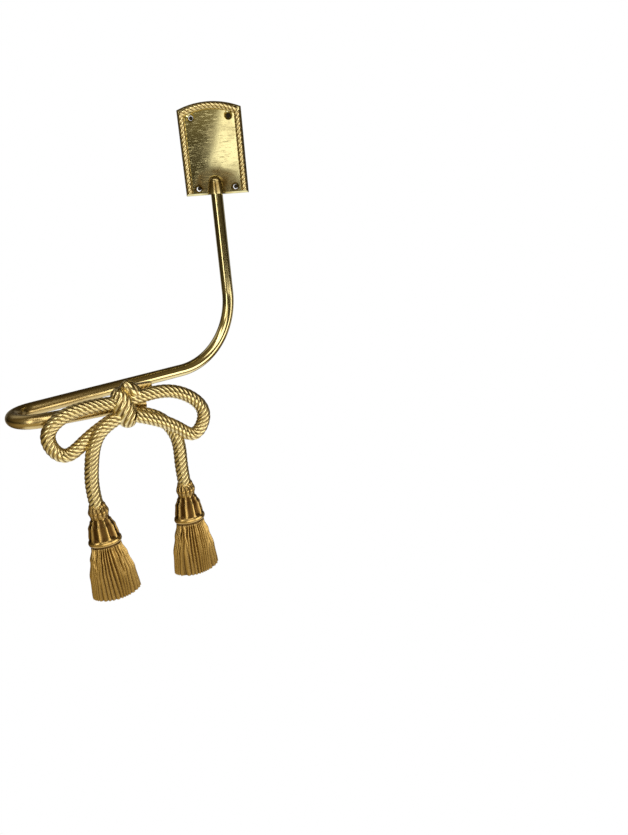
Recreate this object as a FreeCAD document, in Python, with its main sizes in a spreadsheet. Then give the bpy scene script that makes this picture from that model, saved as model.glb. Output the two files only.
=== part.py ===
import FreeCAD, Part
import math
import os

from FreeCAD import Placement, Rotation, Vector

# A wall-fixed curtain holdback: a screwed plate, a bent round arm and a cast rope bow with two tassels.
# Frame: +Z up, the wall is the plane y = 0, the room is at -Y, the origin is the screw holes' centre.

doc = FreeCAD.newDocument("curtain_holdback")

sizes = {
    "plate_width": 50.8,
    "plate_side_height": 64,
    "plate_arch_rise": 5,
    "plate_thickness": 4,
    "plate_edge_bevel": 1.4,
    "panel_depth": 1.2,
    "border_width": 5,
    "bottom_lip": 1.6,
    "border_rope_radius": 2.3,
    "border_rope_lead": 13.2,
    "border_rope_relief": 0.4,
    "border_rope_lobes": 4,
    "screw_spacing_across": 30,
    "screw_spacing_up": 53,
    "screw_bottom_margin": 5,
    "screw_hole_diameter": 3.8,
    "screw_head_diameter": 6.8,
    "boss_height": 14.5,
    "boss_bottom_radius": 7.4,
    "boss_top_radius": 5.9,
    "socket_depth": 8.4,
    "rod_diameter": 9.5,
    "rod_wall_distance": 8.5,
    "rod_fit_gap": 0.1,
    "drop_to_bend": 110,
    "drop_bend_radius": 56,
    "sweep_angle": 45,
    "sweep_run": 123,
    "return_bend_radius": 18,
    "return_bend_angle": 161,
    "front_run": 64,
    "knot_along_front_run": 48,
    "knot_standoff": 12,
    "knot_rise": 1,
    "knot_height": 26,
    "knot_radius": 7.6,
    "knot_strands": 9,
    "second_wrap_strands": 5,
    "saddle_width": 13,
    "saddle_height": 15,
    "lug_reach": 21,
    "lug_rise": 13.5,
    "lug_thickness": 5,
    "rope_radius": 4.5,
    "rope_lead": 23,
    "rope_relief": 0.9,
    "rope_lobes": 6,
    "tassel_length": 72,
    "tassel_skirt_width": 33,
    "tassel_skirt_depth": 15,
    "tassel_back": 4,
    "tassel_sag": 2.2,
    "left_tassel_lean": 2.5,
}

sheet = doc.addObject("Spreadsheet::Sheet", "Sizes")
for row, (name, value) in enumerate(sizes.items(), start=1):
    sheet.set("A" + str(row), name)
    sheet.set("B" + str(row), str(value))
    sheet.setAlias("B" + str(row), name)
doc.recompute()


def size(name):
    return float(getattr(sheet, name))


def bind(target, expressions):
    for path, text in expressions.items():
        target.setExpression(path, text.replace("@", "Sizes."))


def origin_plane(body, role):
    return next(f for f in body.Origin.OriginFeatures if f.Role == role)


def new_sketch(body, name, role):
    sketch = body.newObject("Sketcher::SketchObject", name)
    sketch.AttachmentSupport = [(origin_plane(body, role), "")]
    sketch.MapMode = "FlatFace"
    return sketch


def closed_outline(sketch, corners, arc_side=None):
    # A closed run of lines through the corners, with one side as an arc through a crown point.
    count = len(corners)
    for i in range(count):
        a, b = corners[i], corners[(i + 1) % count]
        if arc_side and arc_side[0] == i:
            sketch.addGeometry(Part.Arc(a, arc_side[1], b))
        else:
            sketch.addGeometry(Part.LineSegment(a, b))
    return sketch


# Wall plate: bevelled arched plate, sunk panel, four countersunk holes and a hooded boss for the arm.

plate_bottom = -size("screw_spacing_up") / 2 - size("screw_bottom_margin")
plate_shoulder = plate_bottom + size("plate_side_height")
plate_half = size("plate_width") / 2
crown = plate_shoulder + size("plate_arch_rise")


def plate_outline(inset, bottom_inset):
    half = plate_half - inset
    low = plate_bottom + bottom_inset
    high = plate_shoulder - inset
    corners = [Vector(-half, low, 0), Vector(half, low, 0), Vector(half, high, 0), Vector(-half, high, 0)]
    return corners, (2, Vector(0, crown - inset, 0))


def make_plate_body():
    body = doc.addObject("PartDesign::Body", "PlateBody")

    outline = new_sketch(body, "PlateOutline", "XZ_Plane")
    closed_outline(outline, *plate_outline(0, 0))
    pad = body.newObject("PartDesign::Pad", "PlatePad")
    pad.Profile = outline
    bind(pad, {"Length": "@plate_thickness"})
    doc.recompute()

    front_edges = []
    for i, edge in enumerate(pad.Shape.Edges, start=1):
        if all(abs(v.Point.y + size("plate_thickness")) < 1e-6 for v in edge.Vertexes):
            front_edges.append("Edge" + str(i))
    bevel = body.newObject("PartDesign::Chamfer", "PlateBevel")
    bevel.Base = (pad, front_edges)
    bind(bevel, {"Size": "@plate_edge_bevel"})
    doc.recompute()

    recess = new_sketch(body, "PanelOutline", "XZ_Plane")
    bind(recess, {"AttachmentOffset.Base.z": "@plate_thickness"})
    closed_outline(recess, *plate_outline(size("border_width"), size("bottom_lip")))
    panel = body.newObject("PartDesign::Pocket", "Panel")
    panel.Profile = recess
    bind(panel, {"Length": "@panel_depth"})
    doc.recompute()

    hood = new_sketch(body, "BossProfile", "YZ_Plane")
    bind(hood, {"AttachmentOffset.Base.x": "-@rod_wall_distance"})
    low, top = plate_bottom, plate_bottom + size("boss_height")
    wide, narrow = size("boss_bottom_radius"), size("boss_top_radius")
    shoulder = top - narrow
    hood.addGeometry(Part.LineSegment(Vector(0, low, 0), Vector(-wide, low, 0)))
    hood.addGeometry(Part.LineSegment(Vector(-wide, low, 0), Vector(-narrow, shoulder, 0)))
    lean = narrow * math.sqrt(0.5)
    brow = Vector(-lean, shoulder + lean, 0)
    hood.addGeometry(Part.Arc(Vector(-narrow, shoulder, 0), brow, Vector(0, top, 0)))
    hood.addGeometry(Part.LineSegment(Vector(0, top, 0), Vector(0, low, 0)))
    boss = body.newObject("PartDesign::Revolution", "Boss")
    boss.Profile = hood
    boss.ReferenceAxis = (hood, ["V_Axis"])
    boss.Angle = 360
    doc.recompute()

    bore = new_sketch(body, "SocketProfile", "YZ_Plane")
    bind(bore, {"AttachmentOffset.Base.x": "-@rod_wall_distance"})
    radius = size("rod_diameter") / 2 + size("rod_fit_gap")
    deep = plate_bottom + size("socket_depth")
    wall = [Vector(-radius, low, 0), Vector(-radius, deep, 0)]
    closed_outline(bore, [Vector(0, low, 0), *wall, Vector(0, deep, 0)])
    before = boss.Shape.Volume
    socket = body.newObject("PartDesign::Groove", "Socket")
    socket.Profile = bore
    socket.ReferenceAxis = (bore, ["V_Axis"])
    socket.Angle = 360
    doc.recompute()
    if socket.Shape.Volume >= before:
        raise RuntimeError("the arm's socket removed nothing")

    spots = new_sketch(body, "ScrewSpots", "XZ_Plane")
    bind(spots, {"AttachmentOffset.Base.z": "@plate_thickness - @panel_depth"})
    across, up = size("screw_spacing_across") / 2, size("screw_spacing_up") / 2
    for x in (-across, across):
        for z in (-up, up):
            spots.addGeometry(Part.Circle(Vector(x, z, 0), Vector(0, 0, 1), size("screw_hole_diameter") / 2))
    doc.recompute()
    before = socket.Shape.Volume
    holes = body.newObject("PartDesign::Hole", "ScrewHoles")
    holes.Profile = spots
    holes.DepthType = "ThroughAll"
    holes.HoleCutType = "Countersink"
    holes.HoleCutCountersinkAngle = 90
    bind(holes, {"Diameter": "@screw_hole_diameter", "HoleCutDiameter": "@screw_head_diameter"})
    doc.recompute()
    if holes.Shape.Volume >= before:
        raise RuntimeError("the screw holes removed nothing")
    return body


# Twisted rope: rings of alternating ridges and valleys that turn as they follow a line.


def smooth_line(points):
    curve = Part.BSplineCurve()
    curve.interpolate(points)
    return curve.toShape()


def ring_frames(edge, step):
    count = max(int(round(edge.Length / step)) + 1, 3)
    points = edge.discretize(Number=count)
    frames = []
    for i, point in enumerate(points):
        along = points[min(i + 1, count - 1)] - points[max(i - 1, 0)]
        along.normalize()
        side = along.cross(Vector(0, 1, 0))
        side.normalize()
        frames.append((point, side, side.cross(along)))
    return frames


def solid_from_rings(rings):
    # One closed solid of flat triangles from equal rings, capped by a fan at each end.
    count = len(rings[0])
    points = [p for ring in rings for p in ring]
    triangles = []
    for i in range(len(rings) - 1):
        for k in range(count):
            a, b = i * count + k, i * count + (k + 1) % count
            c, d = a + count, b + count
            triangles += [(a, b, d), (a, d, c)]
    for ring, start, flip in ((rings[0], 0, True), (rings[-1], len(points) - count, False)):
        middle = Vector()
        for p in ring:
            middle += p
        points.append(middle / count)
        hub = len(points) - 1
        for k in range(count):
            a, b = start + k, start + (k + 1) % count
            triangles.append((b, a, hub) if flip else (a, b, hub))
    if sum(points[a].dot(points[b].cross(points[c])) for a, b, c in triangles) < 0:
        triangles = [(a, c, b) for a, b, c in triangles]
    shell = Part.Shape()
    shell.makeShapeFromMesh((points, triangles), 0.001)
    return Part.makeSolid(Part.Shell(shell.Faces))


def rope(edge, lobes, lead, relief, radius_at):
    step = lead / (2 * lobes)
    frames = ring_frames(edge, step)
    rings = []
    for i, (point, side, front) in enumerate(frames):
        radius = radius_at(i / (len(frames) - 1))
        turn = 2 * math.pi * i * step / lead
        ring = []
        for k in range(2 * lobes):
            angle = math.pi * k / lobes + turn
            reach = radius - (k % 2) * relief
            ring.append(point + side * (reach * math.cos(angle)) - front * (reach * math.sin(angle)))
        rings.append(ring)
    return solid_from_rings(rings)


def make_border():
    # A small twisted rope up both sides and over the arch, half sunk in the plate's rim.
    radius = size("border_rope_radius")
    middle = size("plate_edge_bevel") + (size("border_width") - size("plate_edge_bevel")) / 2
    half, high = plate_half - middle, plate_shoulder - middle
    depth = -size("plate_thickness")
    low = plate_bottom + size("bottom_lip")
    left_head, right_head = Vector(-half, depth, high), Vector(half, depth, high)
    left = Part.LineSegment(Vector(-half, depth, low), left_head).toShape()
    right = Part.LineSegment(Vector(half, depth, low), right_head).toShape()
    top = Part.Arc(left_head, Vector(0, depth, crown - middle), right_head).toShape()
    lead, relief = size("border_rope_lead"), size("border_rope_relief")
    lobes = int(size("border_rope_lobes"))
    strands = [rope(edge, lobes, lead, relief, lambda along: radius) for edge in (left, top, right)]
    return strands[0].multiFuse(strands[1:])


# Arm: one round rod in straight runs and tangent bends, laid out along -X and turned to its sweep angle.


def make_arm():
    top = "(-@screw_spacing_up / 2 - @screw_bottom_margin + @socket_depth)"
    level = "(-@drop_to_bend - @drop_bend_radius)"
    radius = "@rod_diameter / 2"
    turned = "@return_bend_angle"

    drop = doc.addObject("Part::Cylinder", "ArmDrop")
    bind(drop, {"Radius": radius, "Height": top + " + @drop_to_bend", "Placement.Base.z": "-@drop_to_bend"})

    bend = doc.addObject("Part::Torus", "ArmBend")
    bend.Placement.Rotation = Rotation(Vector(1, 0, 0), -90)
    bend.Angle3 = 90
    bind(bend, {"Radius1": "@drop_bend_radius", "Radius2": radius})
    bind(bend, {"Placement.Base.x": "-@drop_bend_radius", "Placement.Base.z": "-@drop_to_bend"})

    sweep = doc.addObject("Part::Cylinder", "ArmSweep")
    sweep.Placement.Rotation = Rotation(Vector(0, 1, 0), -90)
    bind(sweep, {"Radius": radius, "Height": "@sweep_run"})
    bind(sweep, {"Placement.Base.x": "-@drop_bend_radius", "Placement.Base.z": level})

    back = doc.addObject("Part::Torus", "ArmReturn")
    back.Placement.Rotation = Rotation(Vector(0, 0, 1), 90)
    bind(back, {"Radius1": "@return_bend_radius", "Radius2": radius, "Angle3": turned})
    bind(back, {"Placement.Base.x": "-@drop_bend_radius - @sweep_run"})
    bind(back, {"Placement.Base.y": "-@return_bend_radius", "Placement.Base.z": level})

    front = doc.addObject("Part::Cylinder", "ArmFront")
    turn = size("return_bend_angle")
    front.Placement.Rotation = Rotation(Vector(0, 0, 1), turn).multiply(Rotation(Vector(0, 1, 0), -90))
    bind(front, {"Radius": radius, "Height": "@front_run", "Placement.Base.z": level})
    inset = "@return_bend_radius * sin(" + turned + ")"
    bind(front, {"Placement.Base.x": "-@drop_bend_radius - @sweep_run - " + inset})
    bind(front, {"Placement.Base.y": "-@return_bend_radius + @return_bend_radius * cos(" + turned + ")"})

    arm = doc.addObject("Part::MultiFuse", "Arm")
    arm.Shapes = [drop, bend, sweep, back, front]
    arm.Refine = True
    arm.Placement.Rotation = Rotation(Vector(0, 0, 1), size("sweep_angle"))
    bind(arm, {"Placement.Base.y": "-@rod_wall_distance"})
    return arm


def front_leg_point(along):
    # A point on the axis of the arm's front run, and the way that run points in plan.
    turn = math.radians(size("return_bend_angle"))
    bend = size("return_bend_radius")
    x = -size("drop_bend_radius") - size("sweep_run") - bend * math.sin(turn) - along * math.cos(turn)
    y = -bend + bend * math.cos(turn) - along * math.sin(turn)
    spin = Rotation(Vector(0, 0, 1), size("sweep_angle"))
    level = -size("drop_to_bend") - size("drop_bend_radius")
    point = spin.multVec(Vector(x, y, level)) - Vector(0, size("rod_wall_distance"), 0)
    return point, size("sweep_angle") + size("return_bend_angle") - 180


# Bow: its own frame has the knot's centre as origin, X to the right, -Y towards the room and Z up.


def at(x, z, y=0.0):
    return Vector(x, y, z)


# Each cord's line keeps clear of itself at the knot, and passes before or behind the cord that it crosses.
left_loop = [
    at(-5, 5.2, -1), at(-26, 5.1, -0.5), at(-39, 1.5), at(-48.6, -9),
    at(-41.6, -23.2, 0.5), at(-28, -17.5, 1.5), at(-6, -5.6, 2.5),
]
right_loop = [
    at(5, 5, 0.5), at(31, 6, 0.5), at(44.3, -0.5), at(52, -15.5),
    at(43, -26.8, -0.5), at(33.5, -20.8, -1), at(6, -5.6, -1.5),
]
left_tail = [at(-3, -5, -2), at(-19, -13.2, -2.5), at(-26, -31, -1), at(-28.4, -48), at(-28, -64)]
right_tail = [at(5, -5, 3), at(22, -12, 3), at(31.6, -28, 2), at(31.8, -46, 0.5), at(32.1, -64)]


def tassel(top, lean):
    # Sections downwards: drop as a share of the length, half width and half depth as shares of the skirt's,
    # and the depth and number of the flutes: neck lobes, bell panels, a plain ring and the skirt's strands.
    neck, bell, strands, corners = 12, 8, 24, 48
    sections = [
        (0.00, 0.27, 0.50, 0.00, neck), (0.04, 0.35, 0.67, 0.10, neck), (0.10, 0.42, 0.82, 0.14, neck),
        (0.15, 0.36, 0.70, 0.08, neck), (0.17, 0.38, 0.73, 0.05, bell), (0.25, 0.54, 0.90, 0.09, bell),
        (0.36, 0.61, 0.98, 0.09, bell), (0.39, 0.65, 1.04, 0.00, bell), (0.43, 0.66, 1.04, 0.00, bell),
        (0.445, 0.56, 0.92, 0.00, bell), (0.47, 0.61, 0.96, 0.06, strands), (0.60, 0.77, 1.00, 0.09, strands),
        (0.78, 0.93, 1.00, 0.09, strands), (0.97, 1.00, 0.96, 0.09, strands),
    ]
    half = size("tassel_skirt_width") / 2
    deep = size("tassel_skirt_depth") / 2
    length = size("tassel_length")
    rings = []
    for drop, wide, thick, flute, lobes in sections:
        middle = top + Vector(lean * drop, 0, -length * drop)
        sag = size("tassel_sag") if drop == sections[-1][0] else 0.0
        ring = []
        for k in range(corners):
            angle = 2 * math.pi * k / corners
            swell = 1 - flute * (1 - abs(math.cos(lobes * angle / 2)))
            x = half * wide * swell * math.cos(angle)
            y = min(deep * thick * swell * math.sin(angle), size("tassel_back"))
            ring.append(middle + Vector(x, y, -sag * (1 - (x / half) ** 2)))
        rings.append(ring)
    return solid_from_rings(rings)


def knot_wrap(low, high, radius, strands, lead, relief):
    line = Part.LineSegment(low, high).toShape()
    return rope(line, strands, lead, relief, lambda along: radius * (0.62 + 0.38 * math.sin(math.pi * along)))


def seat_cutter():
    # The room that the arm's front run takes behind the knot.
    radius = size("rod_diameter") / 2 + size("rod_fit_gap")
    reach = size("front_run")
    start = at(-reach, -size("knot_rise"), size("knot_standoff"))
    return Part.makeCylinder(radius, 2 * reach, start, Vector(1, 0, 0))


def make_bow():
    full = size("rope_radius")
    lead, relief = size("rope_lead"), size("rope_relief")

    def cord(points):
        return rope(smooth_line(points), int(size("rope_lobes")), lead, relief, lambda along: full)

    def half_bow(loop, tail, lean):
        top = tail[-1] + Vector(0, 0, full)
        return cord(loop).fuse(cord(tail)).fuse(tassel(top, lean))

    half_knot = size("knot_height") / 2
    wide, tall = size("saddle_width"), size("saddle_height")
    saddle = Part.makeBox(wide, size("knot_standoff"), tall, at(-wide / 2, -size("knot_rise") - tall / 2))
    low, high = at(1.5, -half_knot), at(-1.5, half_knot)
    knot = knot_wrap(low, high, size("knot_radius"), int(size("knot_strands")), 2 * lead, relief)
    second = knot_wrap(at(3, 16), at(11, 7), full, int(size("second_wrap_strands")), 2 * lead, relief / 2)
    thick = size("lug_thickness")
    lug = Part.makeBox(size("lug_reach"), thick, size("lug_rise") - full, at(0, full, full))
    hub = knot.fuse(second).fuse(saddle).fuse(lug).cut(seat_cutter())
    left = half_bow(left_loop, left_tail, size("left_tassel_lean"))
    right = half_bow(right_loop, right_tail, 0)
    casting = left.fuse(hub).fuse(right).cut(seat_cutter())

    bow = doc.addObject("Part::Feature", "Bow")
    bow.Shape = casting
    seat_point, heading = front_leg_point(size("knot_along_front_run"))
    turned = Rotation(Vector(0, 0, 1), heading)
    offset = turned.multVec(Vector(0, -size("knot_standoff"), size("knot_rise")))
    bow.Placement = Placement(seat_point + offset, turned)
    return bow


plate_body = make_plate_body()
border = doc.addObject("Part::Feature", "PlateBorder")
border.Shape = make_border()
wall_plate = doc.addObject("Part::Fuse", "WallPlate")
wall_plate.Base = plate_body
wall_plate.Tool = border
arm = make_arm()
bow = make_bow()
doc.recompute()

labels = {"wall_plate": wall_plate, "arm": arm, "bow_ornament": bow}
for label, item in labels.items():
    item.Label = label

failed = [o.Name for o in doc.Objects if "Invalid" in o.State or "Error" in o.State]
if failed:
    raise RuntimeError("failed features: " + ", ".join(failed))
for label, item in labels.items():
    if item.Shape.isNull() or not item.Shape.isValid():
        raise RuntimeError(label + " has no valid shape")

os.makedirs("parts", exist_ok=True)
for label, item in labels.items():
    shape = item.Shape
    shape.exportStep(os.path.join("parts", label + ".step"))
    print(label, len(shape.Solids), "solids", len(shape.Faces), "faces", round(shape.Volume), "mm3")
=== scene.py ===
import bmesh
import bpy
import math
import random
from mathutils import Matrix, Vector


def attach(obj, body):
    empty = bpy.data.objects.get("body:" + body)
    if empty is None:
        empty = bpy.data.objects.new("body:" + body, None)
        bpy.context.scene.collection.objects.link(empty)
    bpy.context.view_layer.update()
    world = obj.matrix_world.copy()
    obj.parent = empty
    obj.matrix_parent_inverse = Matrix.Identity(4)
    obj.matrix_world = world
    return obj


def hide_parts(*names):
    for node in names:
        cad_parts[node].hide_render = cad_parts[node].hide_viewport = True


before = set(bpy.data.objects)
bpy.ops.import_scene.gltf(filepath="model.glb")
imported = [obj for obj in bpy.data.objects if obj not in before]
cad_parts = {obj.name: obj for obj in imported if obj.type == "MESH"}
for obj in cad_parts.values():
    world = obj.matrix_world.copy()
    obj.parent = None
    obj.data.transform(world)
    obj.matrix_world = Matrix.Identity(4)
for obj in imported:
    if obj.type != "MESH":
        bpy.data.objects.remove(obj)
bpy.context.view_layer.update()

mm = 0.001
scene = bpy.context.scene
print("frame loaded:", sorted(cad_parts))


# shader tools

def linkNodes(tree, source, output, target, socket):
    tree.links.new(source.outputs[output], target.inputs[socket])


def addMath(tree, operation, first, second=None, clamp=False):
    node = tree.nodes.new("ShaderNodeMath")
    node.operation = operation
    node.use_clamp = clamp
    for i, value in enumerate((first, second)):
        if value is None:
            continue
        if isinstance(value, (int, float)):
            node.inputs[i].default_value = value
        else:
            tree.links.new(value, node.inputs[i])
    return node.outputs[0]


def addRamp(tree, source, stops):
    ramp = tree.nodes.new("ShaderNodeValToRGB")
    elements = ramp.color_ramp.elements
    while len(elements) < len(stops):
        elements.new(0.5)
    for element, (place, colour) in zip(elements, stops):
        element.position = place
        element.color = (*colour, 1)
    tree.links.new(source, ramp.inputs["Fac"])
    return ramp.outputs["Color"]


def addNoise(tree, coords, scale, detail, rough=0.55, stretch=(1, 1, 1), turn=(0, 0, 0)):
    mapping = tree.nodes.new("ShaderNodeMapping")
    mapping.inputs["Scale"].default_value = stretch
    mapping.inputs["Rotation"].default_value = turn
    tree.links.new(coords, mapping.inputs["Vector"])
    noise = tree.nodes.new("ShaderNodeTexNoise")
    noise.inputs["Scale"].default_value = scale
    noise.inputs["Detail"].default_value = detail
    noise.inputs["Roughness"].default_value = rough
    tree.links.new(mapping.outputs["Vector"], noise.inputs["Vector"])
    return noise.outputs["Fac"]


def addSmoothRange(tree, source, start, end, low, high):
    node = tree.nodes.new("ShaderNodeMapRange")
    node.interpolation_type = "SMOOTHSTEP"
    for name, value in (("From Min", start), ("From Max", end), ("To Min", low), ("To Max", high)):
        node.inputs[name].default_value = value
    tree.links.new(source, node.inputs["Value"])
    return node.outputs["Result"]


def mixShaders(tree, share, first, second, output):
    choose = tree.nodes.new("ShaderNodeMixShader")
    tree.links.new(share, choose.inputs["Fac"])
    tree.links.new(first, choose.inputs[1])
    tree.links.new(second, choose.inputs[2])
    linkNodes(tree, choose, "Shader", output, "Surface")


# brass, shared by every piece: painted shade where Ridge is low (hollows and shade zones), blotchy tarnish,
# fine scratches, uneven polish
grain = {
    "noiseMiddle": 0.5, "blotchScale": 90, "blotchDetail": 5, "blotchHeight": 0.05,
    "fineScale": 900, "fineDetail": 3, "fineRoughness": 0.04,
    "scratches": [(130, (1, 1, 8), (0, 0.6, 0)), (170, (1, 1, 9), (0, -0.5, 0.3))],  # scale, stretch, turn
    "scratchDetail": 3, "scratchRough": 0.6, "scratchFrom": 0.58,
    "scratchDull": 1.5, "scratchRoughness": 2.0,
    "bumpDepth": 0.4,
}


def makeBrassGroup():
    tree = bpy.data.node_groups.new("agedBrass", "ShaderNodeTree")
    face = tree.interface
    for name in ("Ridge", "Tarnish", "Polish Roughness", "Hollow Roughness", "Scratches"):
        face.new_socket(name=name, in_out="INPUT", socket_type="NodeSocketFloat")
    for name in ("High Colour", "Low Colour"):
        face.new_socket(name=name, in_out="INPUT", socket_type="NodeSocketColor")
    face.new_socket(name="Vector", in_out="INPUT", socket_type="NodeSocketVector")
    face.new_socket(name="Colour", in_out="OUTPUT", socket_type="NodeSocketColor")
    face.new_socket(name="Roughness", in_out="OUTPUT", socket_type="NodeSocketFloat")
    face.new_socket(name="Height", in_out="OUTPUT", socket_type="NodeSocketFloat")
    inlet = tree.nodes.new("NodeGroupInput")
    outlet = tree.nodes.new("NodeGroupOutput")
    given = inlet.outputs
    coords = given["Vector"]

    blotch = addNoise(tree, coords, grain["blotchScale"], grain["blotchDetail"])
    fine = addNoise(tree, coords, grain["fineScale"], grain["fineDetail"])
    detail, coarse = grain["scratchDetail"], grain["scratchRough"]
    scratches = []
    for scale, stretch, turn in grain["scratches"]:
        scratches.append(addNoise(tree, coords, scale, detail, coarse, stretch, turn))
    middle = grain["noiseMiddle"]
    worn = addMath(tree, "MULTIPLY", addMath(tree, "SUBTRACT", blotch, middle), given["Tarnish"])
    level = addMath(tree, "ADD", given["Ridge"], worn, True)
    lines = addMath(tree, "SUBTRACT", addMath(tree, "MAXIMUM", *scratches), grain["scratchFrom"], True)
    lines = addMath(tree, "MULTIPLY", lines, given["Scratches"])

    # a low Ridge mixes the colour towards Low Colour: painted shade; scratches dull it as wear
    dulled = addMath(tree, "SUBTRACT", level, addMath(tree, "MULTIPLY", lines, grain["scratchDull"]), True)
    mix = tree.nodes.new("ShaderNodeMix")
    mix.data_type = "RGBA"
    tree.links.new(dulled, mix.inputs["Factor"])
    tree.links.new(given["Low Colour"], mix.inputs["A"])
    tree.links.new(given["High Colour"], mix.inputs["B"])
    tree.links.new(mix.outputs["Result"], outlet.inputs["Colour"])

    span = addMath(tree, "SUBTRACT", given["Polish Roughness"], given["Hollow Roughness"])
    rough = addMath(tree, "ADD", given["Hollow Roughness"], addMath(tree, "MULTIPLY", span, level))
    uneven = addMath(tree, "MULTIPLY", addMath(tree, "SUBTRACT", fine, middle), grain["fineRoughness"])
    rough = addMath(tree, "ADD", rough, uneven, True)
    rough = addMath(tree, "ADD", rough, addMath(tree, "MULTIPLY", lines, grain["scratchRoughness"]), True)
    tree.links.new(rough, outlet.inputs["Roughness"])

    height = addMath(tree, "SUBTRACT", addMath(tree, "MULTIPLY", blotch, grain["blotchHeight"]), lines)
    tree.links.new(height, outlet.inputs["Height"])
    return tree


brassGroup = makeBrassGroup()


def addShadeAndDullZone(tree, coords, zone):
    # the level of polish and of painted shade by the distance from a centre, in a stretched space
    stretch = Vector(zone["stretch"])
    levels = zone["levels"]
    farthest = levels[-1][0]
    shift = tree.nodes.new("ShaderNodeMapping")
    shift.inputs["Scale"].default_value = stretch
    shift.inputs["Location"].default_value = -stretch * Vector(zone["centre"]) * mm
    linkNodes(tree, coords, "Object", shift, "Vector")
    reach = tree.nodes.new("ShaderNodeVectorMath")
    reach.operation = "LENGTH"
    linkNodes(tree, shift, "Vector", reach, "Vector")
    share = addMath(tree, "DIVIDE", reach.outputs["Value"], farthest * mm, True)
    return addRamp(tree, share, [(far / farthest, (level,) * 3) for far, level in levels])


def makeBrass(name, finish):
    material = bpy.data.materials.new(name)
    material.use_nodes = True
    tree = material.node_tree
    shader = tree.nodes["Principled BSDF"]
    shader.inputs["Metallic"].default_value = 1
    group = tree.nodes.new("ShaderNodeGroup")
    group.node_tree = brassGroup
    for key, value in finish["inputs"].items():
        group.inputs[key].default_value = value
    coords = tree.nodes.new("ShaderNodeTexCoord")
    linkNodes(tree, coords, "Object", group, "Vector")
    if "ridgeAttribute" in finish:
        attribute = tree.nodes.new("ShaderNodeAttribute")
        attribute.attribute_name = finish["ridgeAttribute"]
        linkNodes(tree, attribute, "Fac", group, "Ridge")
    if "shadeAndDullZone" in finish:
        tree.links.new(addShadeAndDullZone(tree, coords, finish["shadeAndDullZone"]), group.inputs["Ridge"])
    linkNodes(tree, group, "Colour", shader, "Base Color")
    linkNodes(tree, group, "Roughness", shader, "Roughness")
    bump = tree.nodes.new("ShaderNodeBump")
    bump.inputs["Strength"].default_value = finish["bump"]
    bump.inputs["Distance"].default_value = grain["bumpDepth"] * mm
    linkNodes(tree, group, "Height", bump, "Height")
    linkNodes(tree, bump, "Normal", shader, "Normal")
    return material


plateFinish = {
    "bump": 0.05,
    "shadeAndDullZone": {  # painted shade about the boss, with duller polish
        "centre": (0, -6, -22), "stretch": (0.55, 0.3, 1), "levels": [(0, 0.15), (8.5, 0.25), (12.0, 0.95)],
    },
    "inputs": {
        "High Colour": (0.88, 0.8, 0.43, 1), "Low Colour": (0.2, 0.13, 0.04, 1),
        "Tarnish": 1.4, "Polish Roughness": 0.07, "Hollow Roughness": 0.2, "Scratches": 0.7,
    },
}
rodFinish = {
    "bump": 0.02,
    "shadeAndDullZone": {  # painted shade and duller polish towards the hook
        "centre": (0, 0, 0), "stretch": (0, 1, 0), "levels": [(50.0, 0.95), (110.0, 0.4), (150.0, 0.3)],
    },
    "inputs": {
        "High Colour": (0.88, 0.75, 0.38, 1), "Low Colour": (0.5, 0.34, 0.13, 1),
        "Tarnish": 0.4, "Polish Roughness": 0.11, "Hollow Roughness": 0.32, "Scratches": 0.05,
    },
}
ropeFinish = {
    "bump": 0.08, "ridgeAttribute": "ridge",
    "inputs": {
        "High Colour": (0.93, 0.79, 0.41, 1), "Low Colour": (0.2, 0.11, 0.025, 1),
        "Tarnish": 0.3, "Polish Roughness": 0.17, "Hollow Roughness": 0.45, "Scratches": 0.1,
    },
}
tasselFinish = {
    "bump": 0.1, "ridgeAttribute": "ridge",
    "inputs": {
        # High Colour kept darker than the rope's: painted shade of the fine strands on one another
        "High Colour": (0.56, 0.38, 0.135, 1), "Low Colour": (0.07, 0.03, 0.006, 1),
        "Tarnish": 0.3, "Polish Roughness": 0.24, "Hollow Roughness": 0.45, "Scratches": 0.1,
    },
}
plateBrass = makeBrass("plateBrass", plateFinish)
rodBrass = makeBrass("rodBrass", rodFinish)
ropeBrass = makeBrass("ropeBrass", ropeFinish)
tasselBrass = makeBrass("tasselBrass", tasselFinish)
print("brass finishes ready")


# rope along a path: a lobed section that turns with the length it has run
thinnestEnd = 0.01  # as a share, so that a rounded end keeps some girth


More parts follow.
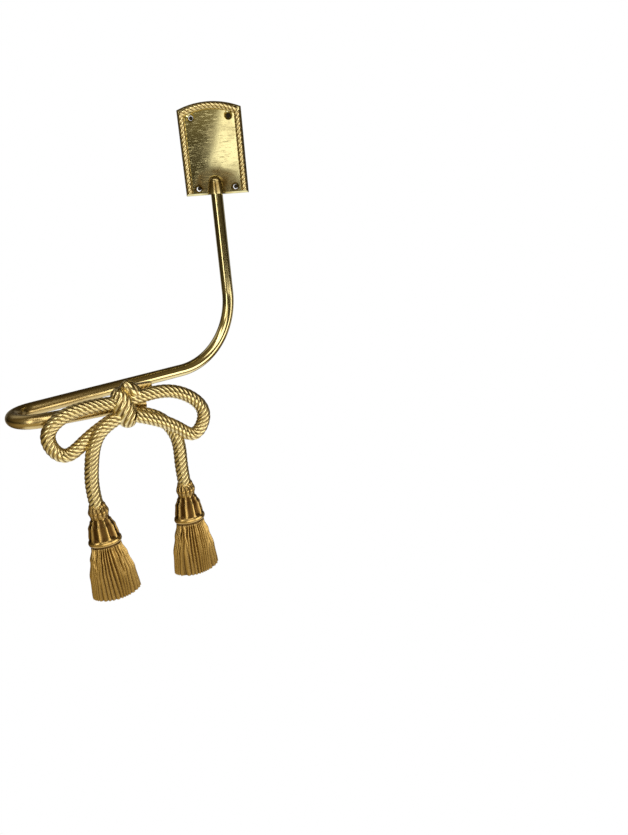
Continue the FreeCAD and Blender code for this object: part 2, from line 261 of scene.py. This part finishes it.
def makeRopeTree():
    tree = bpy.data.node_groups.new("ropeAlongPath", "GeometryNodeTree")
    face = tree.interface
    face.new_socket(name="Geometry", in_out="INPUT", socket_type="NodeSocketGeometry")
    for name in ("Radius", "Relief", "Strands", "Lead", "Step", "End Rounding"):
        face.new_socket(name=name, in_out="INPUT", socket_type="NodeSocketFloat")
    face.new_socket(name="Sides", in_out="INPUT", socket_type="NodeSocketInt")
    face.new_socket(name="Material", in_out="INPUT", socket_type="NodeSocketMaterial")
    face.new_socket(name="Geometry", in_out="OUTPUT", socket_type="NodeSocketGeometry")
    nodes = tree.nodes
    inlet = nodes.new("NodeGroupInput")
    outlet = nodes.new("NodeGroupOutput")
    given = inlet.outputs

    path = nodes.new("GeometryNodeResampleCurve")
    path.mode = "LENGTH"
    linkNodes(tree, inlet, "Geometry", path, "Curve")
    linkNodes(tree, inlet, "Step", path, "Length")
    run = nodes.new("GeometryNodeSplineParameter")
    turns = addMath(tree, "DIVIDE", run.outputs["Length"], given["Lead"])
    tilt = nodes.new("GeometryNodeSetCurveTilt")
    linkNodes(tree, path, "Curve", tilt, "Curve")
    tree.links.new(addMath(tree, "MULTIPLY", turns, 2 * math.pi), tilt.inputs["Tilt"])
    swell = addMath(tree, "SINE", addMath(tree, "MULTIPLY", run.outputs["Factor"], math.pi))
    girth = addMath(tree, "POWER", addMath(tree, "MAXIMUM", swell, thinnestEnd), given["End Rounding"])

    ring = nodes.new("GeometryNodeCurvePrimitiveCircle")
    linkNodes(tree, inlet, "Sides", ring, "Resolution")
    linkNodes(tree, inlet, "Radius", ring, "Radius")
    place = nodes.new("GeometryNodeSplineParameter")
    halfTurn = addMath(tree, "MULTIPLY", place.outputs["Factor"], math.pi)
    wave = addMath(tree, "MULTIPLY", halfTurn, given["Strands"])
    crest = addMath(tree, "ABSOLUTE", addMath(tree, "COSINE", wave))
    sunk = addMath(tree, "MULTIPLY", addMath(tree, "SUBTRACT", 1.0, crest), given["Relief"])
    spot = nodes.new("GeometryNodeInputPosition")
    drawn = nodes.new("ShaderNodeVectorMath")
    drawn.operation = "SCALE"
    linkNodes(tree, spot, "Position", drawn, "Vector")
    tree.links.new(addMath(tree, "SUBTRACT", 1.0, sunk), drawn.inputs["Scale"])
    lobed = nodes.new("GeometryNodeSetPosition")
    linkNodes(tree, ring, "Curve", lobed, "Geometry")
    linkNodes(tree, drawn, "Vector", lobed, "Position")
    # the crest is stored as ridge, which the brass uses to paint the valleys darker: painted shade
    mark = nodes.new("GeometryNodeStoreNamedAttribute")
    mark.data_type = "FLOAT"
    mark.domain = "POINT"
    mark.inputs["Name"].default_value = "ridge"
    linkNodes(tree, lobed, "Geometry", mark, "Geometry")
    tree.links.new(crest, mark.inputs["Value"])

    sweep = nodes.new("GeometryNodeCurveToMesh")
    linkNodes(tree, tilt, "Curve", sweep, "Curve")
    linkNodes(tree, mark, "Geometry", sweep, "Profile Curve")
    tree.links.new(girth, sweep.inputs["Scale"])
    sweep.inputs["Fill Caps"].default_value = True
    smooth = nodes.new("GeometryNodeSetShadeSmooth")
    linkNodes(tree, sweep, "Mesh", smooth, "Geometry")
    whole = nodes.new("GeometryNodeRealizeInstances")
    linkNodes(tree, smooth, "Geometry", whole, "Geometry")
    dress = nodes.new("GeometryNodeSetMaterial")
    linkNodes(tree, whole, "Geometry", dress, "Geometry")
    linkNodes(tree, inlet, "Material", dress, "Material")
    linkNodes(tree, dress, "Geometry", outlet, "Geometry")
    return tree


ropeTree = makeRopeTree()


def socketId(tree, name):
    return next(i.identifier for i in tree.interface.items_tree if i.name == name and i.in_out == "INPUT")


def ropeMesh(name, lines, spec, material):
    curve = bpy.data.curves.new(name + "Path", "CURVE")
    curve.dimensions = "3D"
    for points in lines:
        spline = curve.splines.new("POLY")
        spline.points.add(len(points) - 1)
        for point, target in zip(points, spline.points):
            target.co = (*point, 1)
    holder = bpy.data.objects.new(name + "Path", curve)
    scene.collection.objects.link(holder)
    modifier = holder.modifiers.new("rope", "NODES")
    modifier.node_group = ropeTree
    values = {
        "Radius": spec["radius"] * mm, "Relief": spec["relief"], "Strands": spec["strands"],
        "Lead": spec["lead"] * mm, "Step": spec["step"] * mm, "End Rounding": spec["rounding"],
        "Sides": spec["sides"], "Material": material,
    }
    for key, value in values.items():
        modifier[socketId(ropeTree, key)] = value
    graph = bpy.context.evaluated_depsgraph_get()
    mesh = bpy.data.meshes.new_from_object(holder.evaluated_get(graph))
    bpy.data.objects.remove(holder)
    return mesh


def addPiece(name, mesh, nodes=()):
    piece = bpy.data.objects.new(name, mesh)
    scene.collection.objects.link(piece)
    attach(piece, "root")
    if nodes:
        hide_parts(*nodes)


# arm: straight runs joined by tangent bends, as the solid has them
arm = {
    "wallDistance": 8.5, "top": -23.1, "dropTo": -110.0, "dropBend": 56.0,
    "sweepAngle": 45.0, "sweepRun": 123.0, "returnBend": 18.0, "returnAngle": 161.0, "frontRun": 64.0,
    "bendSteps": 160, "radius": 4.75, "step": 1.0, "sides": 64,
    "relief": 0.0, "strands": 0.0, "lead": 10000.0, "rounding": 0.0,  # a plain round rod
}


def armPath():
    points = [Vector((0, 0, arm["top"])), Vector((0, 0, arm["dropTo"]))]
    steps = arm["bendSteps"]
    bend = arm["dropBend"]
    for i in range(1, steps + 1):
        turn = math.pi / 2 * i / steps
        points.append(Vector((-bend * (1 - math.cos(turn)), 0, arm["dropTo"] - bend * math.sin(turn))))
    start = points[-1] + Vector((-arm["sweepRun"], 0, 0))
    points.append(start)
    last = math.radians(arm["returnAngle"])
    for i in range(1, steps + 1):
        turn = last * i / steps
        points.append(start + Vector((-math.sin(turn), math.cos(turn) - 1, 0)) * arm["returnBend"])
    points.append(points[-1] + Vector((-math.cos(last), -math.sin(last), 0)) * arm["frontRun"])
    spin = Matrix.Rotation(math.radians(arm["sweepAngle"]), 4, "Z")
    return [(spin @ p - Vector((0, arm["wallDistance"], 0))) * mm for p in points]


armLine = armPath()
addPiece("armRod", ropeMesh("armRod", [armLine], arm, rodBrass), ["arm"])
print("arm swept:", len(armLine), "path points")


# bow: twisted cords about a knot, in a plane that follows the arm's front run
bow = {
    "centre": (-57.55, -153.72, -165.0), "heading": 26.0, "stepsPerSpan": 14,
    "radius": 4.6, "relief": 0.1, "strands": 7.0, "lead": 22.5, "step": 0.5, "rounding": 0.0, "sides": 84,
    "cords": [  # left loop, right loop, left tail, right tail: across, up and back
        [(-5, 5.2, -1), (-26, 5.1, -0.5), (-39, 1.5, 0), (-48.6, -9, 0),
         (-41.6, -23.2, 0.5), (-28, -17.5, 1.5), (-6, -5.6, 2.5)],
        [(5, 5, 0.5), (31, 6, 0.5), (44.3, -0.5, 0), (52, -15.5, 0),
         (43, -26.8, -0.5), (33.5, -20.8, -1), (6, -5.6, -1.5)],
        [(0.5, -3, -0.5), (-19, -13.2, -2.5), (-26, -31, -1), (-28.4, -48, 0), (-28, -64, 0)],
        [(2.5, -3.8, 2.5), (22, -12, 3), (31.6, -28, 2), (31.8, -46, 0.5), (32.1, -64, 0)],
    ],
}
knot = {
    "ends": [(1.8, -13.0, 0), (-2.4, 14.4, 0)], "radius": 7.9, "relief": 0.12, "strands": 9.0, "lead": 46.0,
    "step": 0.3, "rounding": 0.36, "sides": 90,
}
secondWrap = {**knot, "ends": [(1.6, 17.6, 0), (12, 5.6, 0)], "radius": 4.7, "strands": 6.0, "rounding": 0.3}
bowTurn = Matrix.Rotation(math.radians(bow["heading"]), 4, "Z")
bowPlace = Matrix.Translation(Vector(bow["centre"]) * mm) @ bowTurn


def bowPoint(across, up, back):
    return bowPlace @ (Vector((across, back, up)) * mm)


def smoothThrough(points, perSpan):
    # a natural cubic spline that passes through each point
    spots = [Vector(p) for p in points]
    gaps = [0.0]
    for a, b in zip(spots, spots[1:]):
        gaps.append(gaps[-1] + (b - a).length)
    count = len(spots)
    below, diag, above = [0.0] * count, [1.0] * count, [0.0] * count
    right = [Vector()] * count
    for i in range(1, count - 1):
        first, second = gaps[i] - gaps[i - 1], gaps[i + 1] - gaps[i]
        below[i], diag[i], above[i] = first, 2 * (first + second), second
        right[i] = 6 * ((spots[i + 1] - spots[i]) / second - (spots[i] - spots[i - 1]) / first)
    for i in range(1, count):
        factor = below[i] / diag[i - 1]
        diag[i] -= factor * above[i - 1]
        right[i] = right[i] - factor * right[i - 1]
    bend = [Vector()] * count
    for i in range(count - 2, 0, -1):
        bend[i] = (right[i] - above[i] * bend[i + 1]) / diag[i]
    line = []
    for i in range(count - 1):
        span = gaps[i + 1] - gaps[i]
        for k in range(perSpan):
            b = k / perSpan
            a = 1 - b
            curve = ((a ** 3 - a) * bend[i] + (b ** 3 - b) * bend[i + 1]) * span * span / 6
            line.append(a * spots[i] + b * spots[i + 1] + curve)
    return line + [spots[-1]]


cords = [[bowPoint(*p) for p in smoothThrough(points, bow["stepsPerSpan"])] for points in bow["cords"]]
addPiece("bowCords", ropeMesh("bowCords", cords, bow, ropeBrass), ["bow_ornament"])
for name, spec in (("bowKnot", knot), ("bowSecondWrap", secondWrap)):
    ends = [bowPoint(*p) for p in spec["ends"]]
    addPiece(name, ropeMesh(name, [ends], spec, ropeBrass), ["bow_ornament"])


# saddle: the block behind the knot that seats on the rod, and the lug beside it
saddle = {
    "width": 13.0, "height": 15.0, "standoff": 12.0, "rise": 1.0, "seatRadius": 4.85, "seatSteps": 24,
    "bevel": 0.8, "bevelSteps": 3, "bevelRound": 0.5, "sharpFrom": 0.8,
    "lugReach": 21.0, "lugBack": 4.6, "lugThick": 5.0, "lugLow": 4.6, "lugHigh": 13.5,
}


def addBlock(shape, outline, left, right):
    # an outline in back and up, drawn out across the bow
    ends = []
    for across in (left, right):
        ends.append([shape.verts.new(bowPoint(across, up, back)) for back, up in outline])
    shape.faces.new(ends[0])
    shape.faces.new(ends[1][::-1])
    for k in range(len(outline)):
        n = (k + 1) % len(outline)
        shape.faces.new((ends[0][n], ends[0][k], ends[1][k], ends[1][n]))


def meshFrom(name, shape, material):
    mesh = bpy.data.meshes.new(name)
    shape.to_mesh(mesh)
    shape.free()
    mesh.materials.append(material)
    return mesh


def saddleMesh():
    shape = bmesh.new()
    half, back, rise, seat = saddle["height"] / 2, saddle["standoff"], saddle["rise"], saddle["seatRadius"]
    outline = [(0, -rise - half), (0, -rise + half), (back, -rise + half)]
    for i in range(saddle["seatSteps"] + 1):
        turn = math.pi * (0.5 + i / saddle["seatSteps"])
        outline.append((back + seat * math.cos(turn), -rise + seat * math.sin(turn)))
    outline.append((back, -rise - half))
    addBlock(shape, outline, -saddle["width"] / 2, saddle["width"] / 2)
    near, far = saddle["lugBack"], saddle["lugBack"] + saddle["lugThick"]
    low, high = saddle["lugLow"], saddle["lugHigh"]
    addBlock(shape, [(near, low), (near, high), (far, high), (far, low)], 0, saddle["lugReach"])
    bmesh.ops.recalc_face_normals(shape, faces=shape.faces)
    sharp = [e for e in shape.edges if e.calc_face_angle(0) > saddle["sharpFrom"]]
    bmesh.ops.bevel(
        shape, geom=sharp, offset=saddle["bevel"] * mm, segments=saddle["bevelSteps"],
        profile=saddle["bevelRound"], affect="EDGES")
    return meshFrom("bowSaddle", shape, rodBrass)


addPiece("bowSaddle", saddleMesh(), ["bow_ornament"])
print("bow twisted")


# tassels: fluted neck, panelled bell, ring and a skirt of strands
tassel = {
    "length": 69.6, "half": 16.5, "deep": 7.5, "back": 4.0,
    "rows": 150, "around": 420, "seed": 11, "capRidge": 0.4,
    "left": {"top": (-28, -59.5, 0), "lean": 2.5}, "right": {"top": (32.1, -59.5, 0), "lean": 0.0},
    "profile": [  # drop, half width and half depth as shares of the whole
        (0.0, 0.27, 0.5), (0.03, 0.33, 0.62), (0.1, 0.41, 0.8), (0.15, 0.36, 0.7),
        (0.165, 0.36, 0.7), (0.19, 0.43, 0.78), (0.26, 0.55, 0.9), (0.36, 0.61, 0.98),
        (0.385, 0.62, 0.99), (0.395, 0.66, 1.04), (0.415, 0.67, 1.06), (0.432, 0.65, 1.03),
        (0.44, 0.57, 0.92), (0.452, 0.57, 0.92), (0.46, 0.61, 0.97), (0.48, 0.62, 0.97),
        (0.6, 0.77, 1.0), (0.78, 0.93, 1.0), (1.0, 1.0, 0.96),
    ],
}
neck = {"end": 0.155, "flutes": 12, "edge": 0.6, "relief": 0.16, "fadeIn": 0.03, "fadeOut": 0.04}
bell = {"end": 0.385, "panels": 10, "edge": 5, "turn": 0.4, "relief": 0.12, "fade": 0.03, "shade": 0.05}
# the groove under the ring is painted dark: painted shade
groove = {"start": 0.436, "ridge": 0.1}
skirt = {
    "start": 0.455, "strands": 36, "edge": 0.8, "fullTurn": 6.28, "phases": 6,
    "relief": 0.18, "reliefTop": 1.1, "reliefLoss": 0.5, "riseFrom": 0.3, "riseRate": 8,
    "wanders": [(0.005, 9, 2.2), (0.016, 4, 1.4)],  # reach, waves round, drift on the way down
    "bunching": 0.35, "bunches": 3,
    "crossings": 5, "crossPlace": (0.58, 0.92), "crossSlant": (-0.12, 0.12), "crossGirth": (0.008, 0.011),
    "crossLevel": 0.4, "crossHeight": 1.35, "hem": 0.85, "sag": 2.2, "hemTeeth": 0.5,
}


def profileAt(drop):
    profile = tassel["profile"]
    for (a, wideA, deepA), (b, wideB, deepB) in zip(profile, profile[1:]):
        if drop <= b:
            share = (drop - a) / (b - a)
            share = share * share * (3 - 2 * share)
            return wideA + (wideB - wideA) * share, deepA + (deepB - deepA) * share
    return profile[-1][1:]


def strandAt(turn, down, phases, crossing):
    # the height of the strands round the skirt, with a few that cross the others
    wander = 0.0
    for (reach, waves, drift), phase in zip(skirt["wanders"], phases):
        wander += reach * math.sin(waves * turn * skirt["fullTurn"] + phase + drift * down) * down
    bunched = skirt["bunching"] * math.sin(skirt["bunches"] * turn * skirt["fullTurn"] + phases[2])
    wave = skirt["strands"] * (turn + wander) + bunched
    ridge = abs(math.sin(math.pi * wave)) ** skirt["edge"]
    for centre, slant, girth in crossing:
        off = (turn - centre - slant * (down - skirt["crossLevel"])) / girth
        ridge = max(ridge, (skirt["crossHeight"] - down) * math.exp(-off * off))
    return ridge


def tasselForm(drop, turn, phases, crossing):
    # ridge of the carving, how deep it is cut, and how bright it is painted: painted shade in the flutes,
    # between the bell's ribs, in the groove and between the strands
    angle = 2 * math.pi * turn
    if drop < neck["end"]:
        ridge = abs(math.cos(neck["flutes"] / 2 * angle)) ** neck["edge"]
        fade = min(1, drop / neck["fadeIn"]) * min(1, (neck["end"] - drop) / neck["fadeOut"])
        return ridge, neck["relief"] * fade, ridge
    if drop < bell["end"]:
        ridge = abs(math.cos(bell["panels"] / 2 * angle + bell["turn"])) ** bell["edge"]
        fade = min(1, (drop - neck["end"]) / bell["fade"]) * min(1, (bell["end"] - drop) / bell["fade"])
        return ridge, bell["relief"] * fade, bell["shade"] + (1 - bell["shade"]) * ridge
    if drop > skirt["start"]:
        down = (drop - skirt["start"]) / (1 - skirt["start"])
        ridge = strandAt(turn, down, phases, crossing)
        relief = skirt["relief"] * (skirt["reliefTop"] - skirt["reliefLoss"] * down)
        return ridge, relief * min(1, skirt["riseFrom"] + skirt["riseRate"] * down), min(1.0, ridge)
    if groove["start"] < drop < skirt["start"]:
        return groove["ridge"], 0.0, groove["ridge"]
    return 1.0, 0.0, 1.0


def tasselMesh(name, top, lean, seed):
    rng = random.Random(seed)
    phases = [rng.uniform(0, skirt["fullTurn"]) for _ in range(skirt["phases"])]
    ranges = (skirt["crossPlace"], skirt["crossSlant"], skirt["crossGirth"])
    crossing = [tuple(rng.uniform(*limits) for limits in ranges) for _ in range(skirt["crossings"])]
    rows, around = tassel["rows"], tassel["around"]
    points, shines, faces = [], [], []
    for i in range(rows + 1):
        drop = i / rows
        wide, deep = profileAt(drop)
        fall = max(0.0, (drop - skirt["hem"]) / (1 - skirt["hem"]))
        for k in range(around):
            turn = k / around
            angle = 2 * math.pi * turn
            ridge, relief, shine = tasselForm(drop, turn, phases, crossing)
            scale = 1 - relief * (1 - ridge)
            x = tassel["half"] * wide * scale * math.cos(angle)
            y = min(tassel["deep"] * deep * scale * math.sin(angle), tassel["back"])
            hem = skirt["sag"] * (1 - (x / tassel["half"]) ** 2) + skirt["hemTeeth"] * (ridge - 0.5)
            z = -tassel["length"] * drop - fall * hem
            points.append(bowPoint(top[0] + lean * drop + x, top[1] + z, top[2] + y))
            shines.append(shine)
    for i in range(rows):
        for k in range(around):
            a, b = i * around + k, i * around + (k + 1) % around
            faces.append((a, a + around, b + around, b))
    # the end caps are painted at capRidge: painted shade
    for start, flip in ((0, False), (rows * around, True)):
        ring = points[start:start + around]
        points.append(sum(ring, Vector()) / around)
        shines.append(tassel["capRidge"])
        hub = len(points) - 1
        for k in range(around):
            a, b = start + k, start + (k + 1) % around
            faces.append((hub, b, a) if flip else (hub, a, b))
    mesh = bpy.data.meshes.new(name)
    mesh.from_pydata(points, [], faces)
    mesh.attributes.new("ridge", "FLOAT", "POINT").data.foreach_set("value", shines)
    mesh.polygons.foreach_set("use_smooth", [True] * len(mesh.polygons))
    mesh.materials.append(tasselBrass)
    return mesh


for offset, side in enumerate(("left", "right")):
    spec = tassel[side]
    mesh = tasselMesh(side + "Tassel", spec["top"], spec["lean"], tassel["seed"] + offset)
    addPiece(side + "Tassel", mesh, ["bow_ornament"])
print("tassels fringed")


# plate: the solid stays, with its rope border twisted over the bead
border = {
    "half": 22.2, "low": -29.9, "high": 29.3, "crown": 34.3, "depth": -4.0, "archSteps": 40,
    "radius": 2.62, "relief": 0.12, "strands": 4.0, "lead": 13.6, "step": 0.4, "rounding": 0.0, "sides": 48,
}


def borderLines():
    half, high, depth, steps = border["half"], border["high"], border["depth"], border["archSteps"]
    lines = []
    for sign in (-1, 1):
        lines.append([Vector((sign * half, depth, up)) * mm for up in (border["low"], high)])
    rise = border["crown"] - high
    radius = (half ** 2 + rise ** 2) / (2 * rise)
    spread = math.asin(half / radius)
    centre = border["crown"] - radius
    arch = []
    for i in range(steps + 1):
        turn = -spread + 2 * spread * i / steps
        arch.append(Vector((radius * math.sin(turn), depth, centre + radius * math.cos(turn))) * mm)
    return lines + [arch]


addPiece("plateBorder", ropeMesh("plateBorder", borderLines(), border, ropeBrass))
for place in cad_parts["wall_plate"].material_slots:
    place.material = plateBrass
print("plate dressed")


# studio: plain white to look at, with a dim warm tent and soft boxes for the metal to mirror
studio = {
    "floorHeight": -0.8, "floorHalf": 0.55, "floorColour": (0.8, 0.79, 0.76), "matt": 0.8,
    "tentRadius": 3.0, "tentColumns": 48, "tentRows": 24, "tentStops": (0.3, 0.62, 0.93),
    "tentBack": (0.022, 0.016, 0.007), "tentSide": (0.075, 0.057, 0.027), "tentFront": (0.13, 0.107, 0.056),
    "tentLow": 2.3, "lowFrom": -0.1, "lowTo": -0.45,  # brighter below
    "tentLevel": 0.45, "tentDome": 1.8, "levelFrom": 0.1, "levelTo": 0.2,  # darker at eye height
    "lampColour": (1, 0.97, 0.9),
    "lamps": [  # name, place, aim, width, height, brightness, slant
        ("leftBox", (-0.42, -1.05, 0.12), (-0.05, -0.1, -0.12), 0.26, 0.7, 2.8, 0),
        ("plateBox", (0.034, -1.1, 0.155), (0.034, 0, 0.155), 0.29, 0.26, 1.25, 20),
        ("topStrip", (-0.1, -0.75, 0.75), (-0.06, -0.12, -0.16), 0.8, 0.2, 2.6, 0),
        ("bowBox", (0.5, -1.1, -0.48), (-0.06, -0.15, -0.2), 0.8, 0.5, 1.6, 0),
        ("rightCard", (0.95, -0.4, -0.46), (-0.06, -0.1, -0.16), 0.7, 0.5, 2.3, 0),
        ("windowBox", (0.54, -0.85, 0.5), (0, -0.05, -0.14), 0.75, 0.7, 2.0, 0),
        ("leftFill", (-1.0, 0.5, 0.95), (-0.1, -0.1, -0.16), 1.1, 0.9, 0.35, 0),
        ("backLeft", (-1.1, 1.1, -0.36), (-0.05, -0.05, -0.1), 0.9, 0.95, 0.26, 0),
        ("backRight", (1.1, 1.1, -0.36), (-0.05, -0.05, -0.1), 0.9, 0.95, 0.26, 0),
        ("backMiddle", (0, 1.5, -0.15), (0, 0, -0.1), 1.3, 1.1, 0.2, 0),
    ],
}
white = (1, 1, 1, 1)


def seenPlainly(tree):
    # where the camera, or metal or glass, looks straight at the white
    rays = tree.nodes.new("ShaderNodeLightPath")
    seen = addMath(tree, "MAXIMUM", rays.outputs["Is Camera Ray"], rays.outputs["Is Glossy Ray"])
    return addMath(tree, "MAXIMUM", seen, rays.outputs["Is Transmission Ray"])


def makeWorld():
    world = bpy.data.worlds.new("whiteRoom")
    world.use_nodes = True
    tree = world.node_tree
    dim = tree.nodes["Background"]
    dim.inputs["Color"].default_value = (*studio["tentSide"], 1)
    plain = tree.nodes.new("ShaderNodeBackground")
    plain.inputs["Color"].default_value = white
    backgrounds = (dim.outputs["Background"], plain.outputs["Background"])
    mixShaders(tree, seenPlainly(tree), *backgrounds, tree.nodes["World Output"])
    return world


def tentMaterial():
    material = bpy.data.materials.new("tentCloth")
    material.use_nodes = True
    tree = material.node_tree
    tree.nodes.remove(tree.nodes["Principled BSDF"])
    radius = studio["tentRadius"]
    coords = tree.nodes.new("ShaderNodeTexCoord")
    split = tree.nodes.new("ShaderNodeSeparateXYZ")
    linkNodes(tree, coords, "Object", split, "Vector")
    front = addMath(tree, "MULTIPLY", split.outputs["Y"], -0.5 / radius)
    front = addMath(tree, "ADD", front, 0.5, True)
    stops = list(zip(studio["tentStops"], (studio["tentBack"], studio["tentSide"], studio["tentFront"])))
    height = split.outputs["Z"]
    low = addSmoothRange(
        tree, height, studio["lowFrom"] * radius, studio["lowTo"] * radius, 1, studio["tentLow"])
    level = addSmoothRange(
        tree, addMath(tree, "ABSOLUTE", height), studio["levelFrom"] * radius, studio["levelTo"] * radius,
        studio["tentLevel"], studio["tentDome"])
    glow = tree.nodes.new("ShaderNodeEmission")
    tree.links.new(addRamp(tree, front, stops), glow.inputs["Color"])
    tree.links.new(addMath(tree, "MULTIPLY", low, level), glow.inputs["Strength"])
    linkNodes(tree, glow, "Emission", tree.nodes["Material Output"], "Surface")
    return material


def mattMaterial(name, colour):
    material = bpy.data.materials.new(name)
    material.use_nodes = True
    matt = material.node_tree.nodes["Principled BSDF"]
    matt.inputs["Base Color"].default_value = (*colour, 1)
    matt.inputs["Roughness"].default_value = studio["matt"]
    return material, material.node_tree, matt.outputs["BSDF"]


def floorMaterial():
    material, tree, matt = mattMaterial("paleFloor", studio["floorColour"])
    glow = tree.nodes.new("ShaderNodeEmission")
    glow.inputs["Color"].default_value = white
    mixShaders(tree, seenPlainly(tree), matt, glow.outputs["Emission"], tree.nodes["Material Output"])
    return material


def addToScene(name, data):
    thing = bpy.data.objects.new(name, data)
    scene.collection.objects.link(thing)
    return thing


scene.world = makeWorld()
shape = bmesh.new()
columns, rows = studio["tentColumns"], studio["tentRows"]
bmesh.ops.create_uvsphere(shape, u_segments=columns, v_segments=rows, radius=studio["tentRadius"])
bmesh.ops.reverse_faces(shape, faces=shape.faces)
tent = addToScene("tent", meshFrom("tent", shape, tentMaterial()))
tent.visible_camera = False  # only the metal sees it
floorMesh = bpy.data.meshes.new("floor")
corners = [(across * studio["floorHalf"], away * studio["floorHalf"], studio["floorHeight"])
           for across, away in ((-1, -1), (1, -1), (1, 1), (-1, 1))]
floorMesh.from_pydata(corners, [], [(0, 1, 2, 3)])
floorMesh.materials.append(floorMaterial())
floor = addToScene("floor", floorMesh)

# a shaded wall behind each screw hole, seen only from the front
screwHole = {
    "depth": -0.2, "colour": (0.02, 0.013, 0.006), "sides": 32,
    "spots": [  # across, up, radius
        (-15.0, 26.5, 1.6), (15.0, 26.5, 1.95), (-14.7, -26.1, 1.5), (15.2, -26.3, 1.6),
    ],
}


def shadeMaterial():
    material, tree, matt = mattMaterial("holeShade", screwHole["colour"])
    clear = tree.nodes.new("ShaderNodeBsdfTransparent")
    behind = tree.nodes.new("ShaderNodeNewGeometry").outputs["Backfacing"]
    mixShaders(tree, behind, matt, clear.outputs["BSDF"], tree.nodes["Material Output"])
    return material


shape = bmesh.new()
upright = Matrix.Rotation(math.pi / 2, 4, "X")
sides = screwHole["sides"]
for across, up, radius in screwHole["spots"]:
    lie = Matrix.Translation(Vector((across, screwHole["depth"], up)) * mm) @ upright
    bmesh.ops.create_circle(shape, cap_ends=True, segments=sides, radius=radius * mm, matrix=lie)
holeShade = addToScene("holeShade", meshFrom("holeShade", shape, shadeMaterial()))

for name, place, aim, wide, tall, bright, slant in studio["lamps"]:
    lamp = bpy.data.lights.new(name, "AREA")
    lamp.shape = "RECTANGLE"
    lamp.size = wide
    lamp.size_y = tall
    lamp.energy = bright * math.pi * wide * tall  # the brightness that a mirror shows
    lamp.color = studio["lampColour"]
    holder = addToScene(name, lamp)
    holder.visible_camera = False
    facing = (Vector(aim) - Vector(place)).to_track_quat("-Z", "Y").to_matrix().to_4x4()
    lean = Matrix.Rotation(math.radians(slant), 4, "Y")
    holder.matrix_world = Matrix.Translation(place) @ lean @ facing

# camera, as fitted to the photograph
camera = {
    "place": (65.74, -541.35, -54.4), "pitch": 18.0, "roll": 4.08,
    "focalPixels": 616.0, "widthPixels": 628.0, "sensor": 36, "nearest": 0.01,
}


def cameraAxes(pitch, roll):
    forward = Vector((0, math.cos(pitch), -math.sin(pitch)))
    upward = Vector((0, math.sin(pitch), math.cos(pitch)))
    across = Vector((1, 0, 0))
    right = math.cos(roll) * across - math.sin(roll) * upward
    above = math.cos(roll) * upward + math.sin(roll) * across
    return Matrix((right, above, -forward)).transposed().to_4x4()


eye = bpy.data.cameras.new("photoCamera")
eye.sensor_fit = "HORIZONTAL"
eye.sensor_width = camera["sensor"]
eye.lens = camera["sensor"] * camera["focalPixels"] / camera["widthPixels"]
eye.clip_start = camera["nearest"]
stand = addToScene("photoCamera", eye)
axes = cameraAxes(math.radians(camera["pitch"]), math.radians(camera["roll"]))
stand.matrix_world = Matrix.Translation(Vector(camera["place"]) * mm) @ axes
scene.camera = stand
scene.view_settings.view_transform = "Standard"
print("studio lit")
